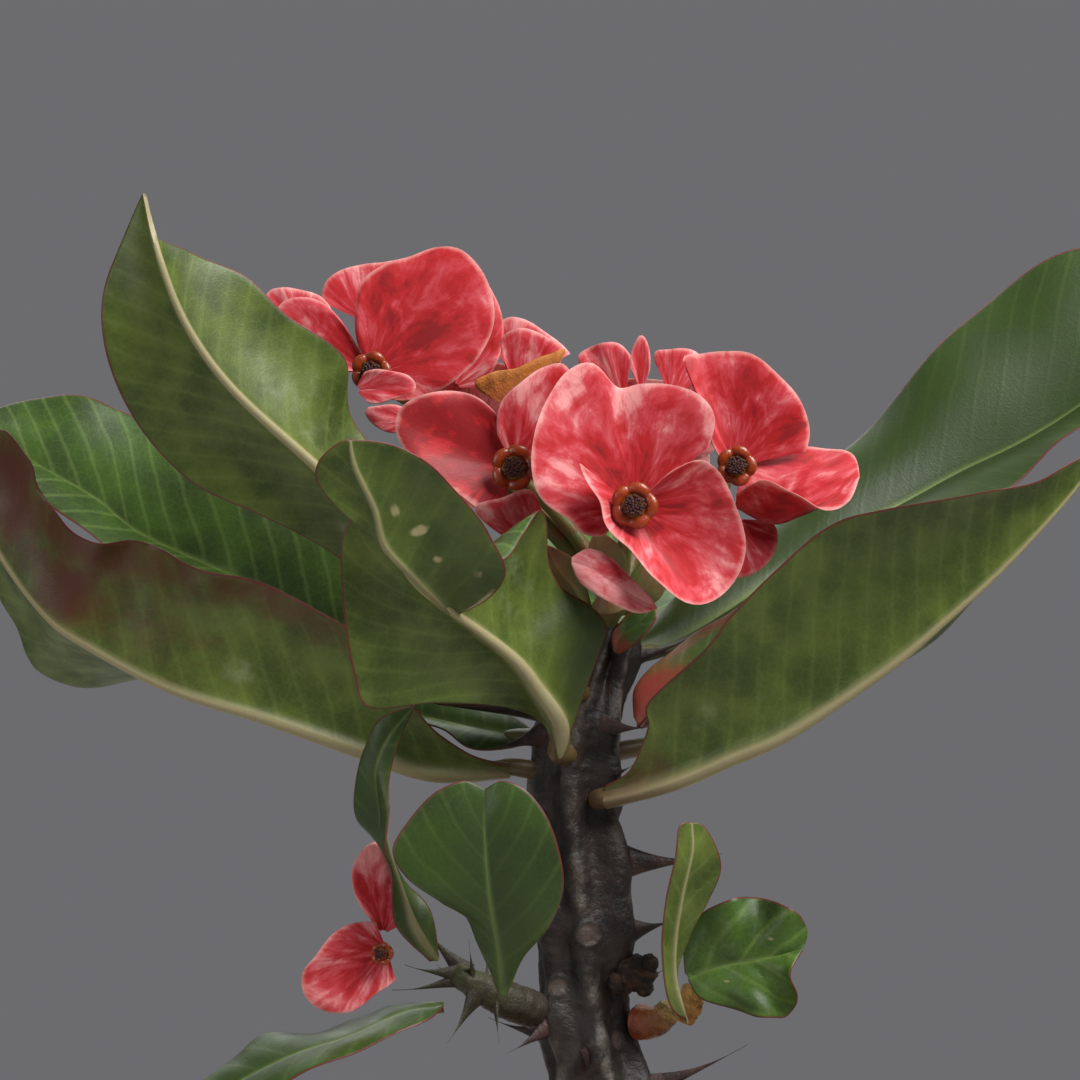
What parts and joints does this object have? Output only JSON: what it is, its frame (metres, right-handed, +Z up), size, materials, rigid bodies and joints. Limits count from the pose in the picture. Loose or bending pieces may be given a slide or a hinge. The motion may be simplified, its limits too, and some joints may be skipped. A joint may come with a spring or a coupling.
{
  "type": "potted euphorbia",
  "caption": "Potted crown-of-thorns euphorbia: thorny ribbed stem, long folded leaves, a cluster of coral bracts, and a plain clay pot.",
  "frame": {"origin": "middle of the pot's flat foot", "axes": "+Z up along the stem; -Y is the side that the open flowers face; +X is to the right of a viewer who looks at the flowers"},
  "size_m": [0.3203, 0.1956, 0.3994],
  "materials": {
    "clay": "matte fired clay",
    "potting_mix": "loose dark bark mix",
    "bark": "dark ribbed skin with pale corky ridges",
    "green_bark": "young skin",
    "shoot_bark": "orange-red young skin",
    "dried_wood": "dry crumbly wood",
    "leaf_green": "satin waxy leaf",
    "young_green": "satin waxy leaf",
    "coral_bract": "soft petal-like bract",
    "blush_bract": "soft petal-like bract",
    "wilted_bract": "dried bract",
    "nectary": "moist glossy glands",
    "stalk_green": "smooth green stalk"
  },
  "bodies": {
    "root": {"bract_back_left_lower": "blush_bract", "bract_back_left_upper": "coral_bract", "bract_back_right_lower": "blush_bract", "bract_back_right_upper": "coral_bract", "bract_crest_coral": "coral_bract", "bract_crest_front": "blush_bract", "bract_crest_rear": "coral_bract", "bract_far_left_big": "coral_bract", "bract_far_left_lip": "blush_bract", "bract_far_left_low": "blush_bract", "bract_far_left_rear": "coral_bract", "bract_far_left_small": "coral_bract", "bract_far_left_top": "coral_bract", "bract_left_inner": "coral_bract", "bract_left_lip": "blush_bract", "bract_left_outer": "coral_bract", "bract_low_lower": "blush_bract", "bract_low_upper": "coral_bract", "bract_middle_back": "blush_bract", "bract_middle_front": "coral_bract", "bract_right_back": "coral_bract", "bract_right_fold": "coral_bract", "bract_right_low": "blush_bract", "bract_salmon": "blush_bract", "bract_top_curl": "blush_bract", "bract_top_left": "coral_bract", "bract_top_right": "coral_bract", "bract_wilted": "wilted_bract", "cup_back_left": "nectary", "cup_back_right": "nectary", "cup_far_left": "nectary", "cup_left": "nectary", "cup_low": "nectary", "cup_middle": "nectary", "cup_right": "nectary", "dried_stub": "dried_wood", "flower_stalk": "stalk_green", "leaf_back_left": "leaf_green", "leaf_back_low": "leaf_green", "leaf_behind": "leaf_green", "leaf_behind_right": "leaf_green", "leaf_front": "leaf_green", "leaf_lower_left": "leaf_green", "leaf_right_back": "leaf_green", "leaf_right_front": "leaf_green", "leaf_upper_left": "leaf_green", "leaf_young_inner": "young_green", "leaf_young_right": "young_green", "pot": "clay", "potting_mix": "potting_mix", "shoot_leaf_low": "leaf_green", "shoot_leaf_narrow": "leaf_green", "shoot_leaf_round": "leaf_green", "shoot_leaf_twisted": "leaf_green", "shoot_leaf_wavy": "leaf_green", "shoot_left": "green_bark", "shoot_right": "shoot_bark", "stem": "bark"}
  },
  "joints": []
}
